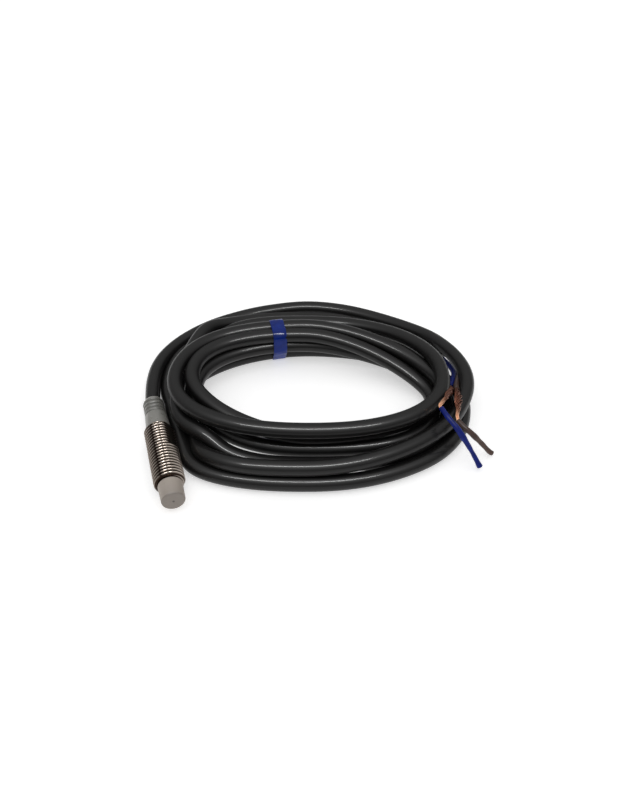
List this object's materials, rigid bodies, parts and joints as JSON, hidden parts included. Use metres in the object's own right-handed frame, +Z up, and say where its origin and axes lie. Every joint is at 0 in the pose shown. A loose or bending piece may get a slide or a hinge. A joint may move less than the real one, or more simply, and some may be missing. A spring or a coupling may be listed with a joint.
{
  "type": "inductive proximity sensor",
  "caption": "Small threaded cylindrical proximity sensor with a plastic sensing nose, a cloudy strain-relief sleeve and a tied oval coil of cable ending in bare core wires.",
  "frame": {"origin": "under the middle of the sensor body, on the surface that it lies on", "axes": "+Y along the sensor's axis from the sensing face to the cable, +Z up, +X towards the coiled cable"},
  "size_m": [0.0944, 0.0857, 0.0142],
  "materials": {
    "nickel": "bright nickel plate",
    "nose_plastic": "fine satin",
    "sleeve_plastic": "cloudy, lets light through",
    "black_pvc": "satin",
    "blue_pvc": "satin",
    "brown_pvc": "satin",
    "tie_blue": "glossy",
    "copper": "bare stranded copper",
    "ferrite": "matte sintered",
    "nylon": "plain",
    "board": "solder mask",
    "chip_black": "moulded",
    "ceramic": "fired",
    "led_clear": "clear cast",
    "solder": "bright solder",
    "resin": "cast"
  },
  "bodies": {
    "root": {"threaded_barrel": "nickel", "sensing_nose_cap": "nose_plastic", "ferrite_pot_core": "ferrite", "coil_bobbin": "nylon", "sensing_coil_winding": "copper", "coil_lead_left": "copper", "coil_lead_right": "copper", "circuit_board": "board", "oscillator_chip": "chip_black", "output_transistor": "chip_black", "surge_diode": "chip_black", "tank_capacitor": "ceramic", "threshold_resistor": "chip_black", "filter_capacitor": "ceramic", "load_resistor": "chip_black", "status_led": "led_clear", "indicator_sleeve": "sleeve_plastic", "cable_sheath_end": "black_pvc", "inner_wire_blue": "blue_pvc", "inner_wire_brown": "brown_pvc", "resin_plug": "resin", "solder_joint_blue": "solder", "solder_joint_brown": "solder", "cable_lead": "black_pvc", "cable_coil": "black_pvc", "cable_tail": "black_pvc", "cable_tie": "tie_blue", "blue_core": "blue_pvc", "blue_bare_strands": "copper", "blue_insulation_slug": "blue_pvc", "brown_core": "brown_pvc", "brown_bare_strands": "copper", "brown_insulation_slug": "brown_pvc"}
  },
  "joints": []
}
